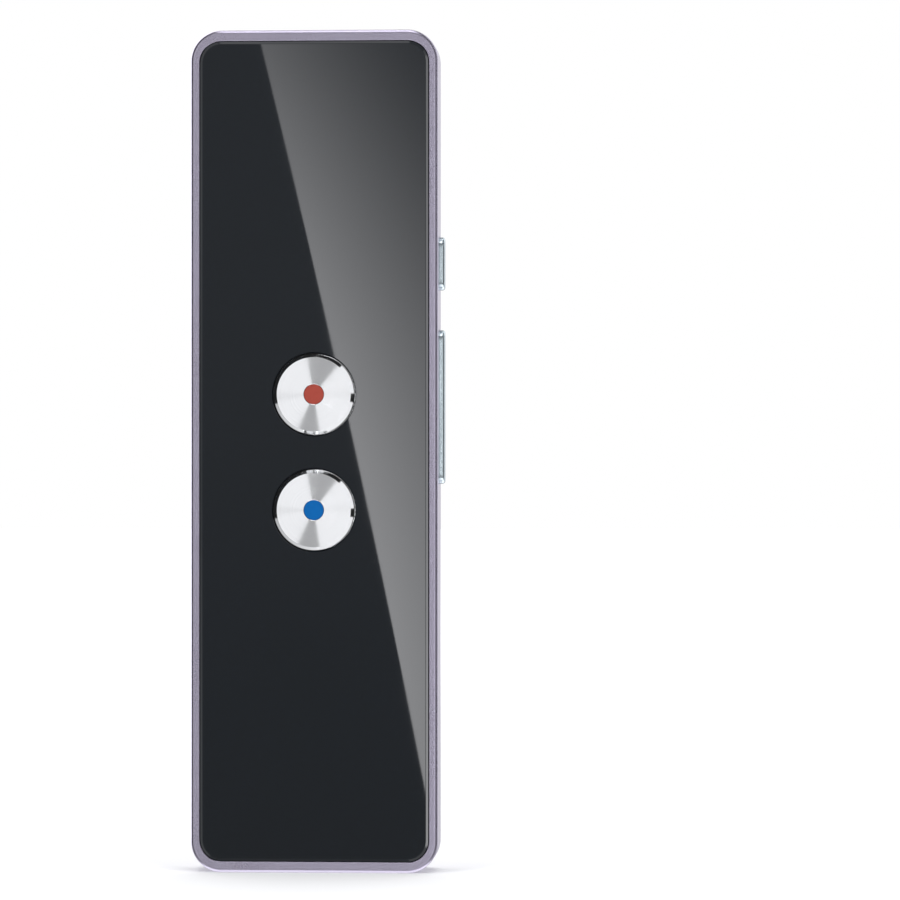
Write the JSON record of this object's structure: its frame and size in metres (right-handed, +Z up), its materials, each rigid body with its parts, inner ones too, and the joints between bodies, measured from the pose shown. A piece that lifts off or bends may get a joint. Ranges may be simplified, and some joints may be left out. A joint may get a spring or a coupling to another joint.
{
  "type": "handheld translator",
  "caption": "Slim bar-shaped handheld voice translator with a glossy front panel, round metal press keys, side keys and a rear sound grille.",
  "frame": {"origin": "centre of the bottom end, which the upright part stands on, half way between the front rim and the back", "axes": "+Z up the body to the top end, +Y out of the grille side, -Y out of the front panel, +X out of the side-key wall"},
  "size_m": [0.0428, 0.0121, 0.142],
  "materials": {
    "satin_lavender": "bead-blasted and anodised, satin",
    "dark_plastic": "moulded, matte",
    "black_gloss": "polished, back-painted black",
    "adhesive_film": "tacky film",
    "steel": "rolled, satin",
    "board_green": "solder mask over glass laminate",
    "spun_metal": "spun face, polished edge",
    "red_enamel": "satin enamel",
    "blue_enamel": "satin enamel",
    "chrome_trim": "polished",
    "soft_foam": "closed-cell foam",
    "magnet_plate": "nickel plated",
    "copper_wire": "enamelled copper winding",
    "film_grey": "thin polymer film",
    "pouch_foil": "laminated foil pouch",
    "white_plastic": "moulded",
    "soft_rubber": "moulded",
    "chip_black": "moulded package",
    "ferrite": "pressed ferrite",
    "lead_sleeve": "soft extruded sleeve",
    "solder_gold": "gold flash over copper",
    "ceramic_tan": "fired ceramic"
  },
  "bodies": {
    "housing": {"rear_shell": "satin_lavender", "mid_frame": "dark_plastic", "front_panel": "black_gloss", "panel_adhesive": "adhesive_film", "case_screws": "steel", "main_board": "board_green", "board_screws": "steel", "red_key_switch": "steel", "blue_key_switch": "steel", "power_switch": "steel", "volume_switches": "steel", "speaker_gasket": "soft_foam", "speaker_basket": "dark_plastic", "speaker_yoke": "steel", "speaker_magnet": "magnet_plate", "speaker_pole_plate": "steel", "speaker_surround": "film_grey", "speaker_terminals": "solder_gold", "speaker_leads": "lead_sleeve", "battery_cell": "pouch_foil", "battery_tape": "adhesive_film", "battery_protection_board": "board_green", "battery_leads": "lead_sleeve", "battery_socket": "white_plastic", "usb_shell": "steel", "usb_tongue": "dark_plastic", "usb_contacts": "solder_gold", "microphone_boot": "soft_rubber", "microphone_capsule": "steel", "microphone_leads": "solder_gold", "processor": "chip_black", "memory_chip": "chip_black", "amplifier_chip": "chip_black", "charger_chip": "chip_black", "crystal": "steel", "power_inductor": "ferrite", "antenna_chip": "white_plastic", "board_passives": "ceramic_tan"},
    "red_key": {"red_key_cap": "spun_metal", "red_key_dot": "red_enamel", "red_key_plunger": "dark_plastic"},
    "blue_key": {"blue_key_cap": "spun_metal", "blue_key_dot": "blue_enamel", "blue_key_plunger": "dark_plastic"},
    "power_button": {"power_key": "chrome_trim", "power_plunger": "dark_plastic"},
    "volume_rocker": {"volume_key": "chrome_trim", "volume_plungers": "dark_plastic"},
    "speaker_cone": {"speaker_dome": "film_grey", "speaker_coil": "copper_wire"}
  },
  "joints": [
    {"name": "red_key_press", "type": "slide", "parent": "housing", "child": "red_key", "axis": [0, 1, 0], "range_m": [0, 0.0004], "stiffness_N_per_m": 4000, "springref_m": -0.0001},
    {"name": "blue_key_press", "type": "slide", "parent": "housing", "child": "blue_key", "axis": [0, 1, 0], "range_m": [0, 0.0004], "stiffness_N_per_m": 4000, "springref_m": -0.0001},
    {"name": "power_key_press", "type": "slide", "parent": "housing", "child": "power_button", "axis": [-1, 0, 0], "range_m": [0, 0.00035], "stiffness_N_per_m": 4000, "springref_m": -0.0001},
    {"name": "volume_key_rock", "type": "hinge", "parent": "housing", "child": "volume_rocker", "pos_m": [0.01775, -0.0012, 0.0785], "axis": [0, 1, 0], "range_deg": [-1.3, 1.3], "stiffness_Nm_per_rad": 0.6},
    {"name": "speaker_cone_travel", "type": "slide", "parent": "housing", "child": "speaker_cone", "axis": [0, 1, 0], "range_m": [-0.00025, 0.00025], "stiffness_N_per_m": 1500}
  ]
}
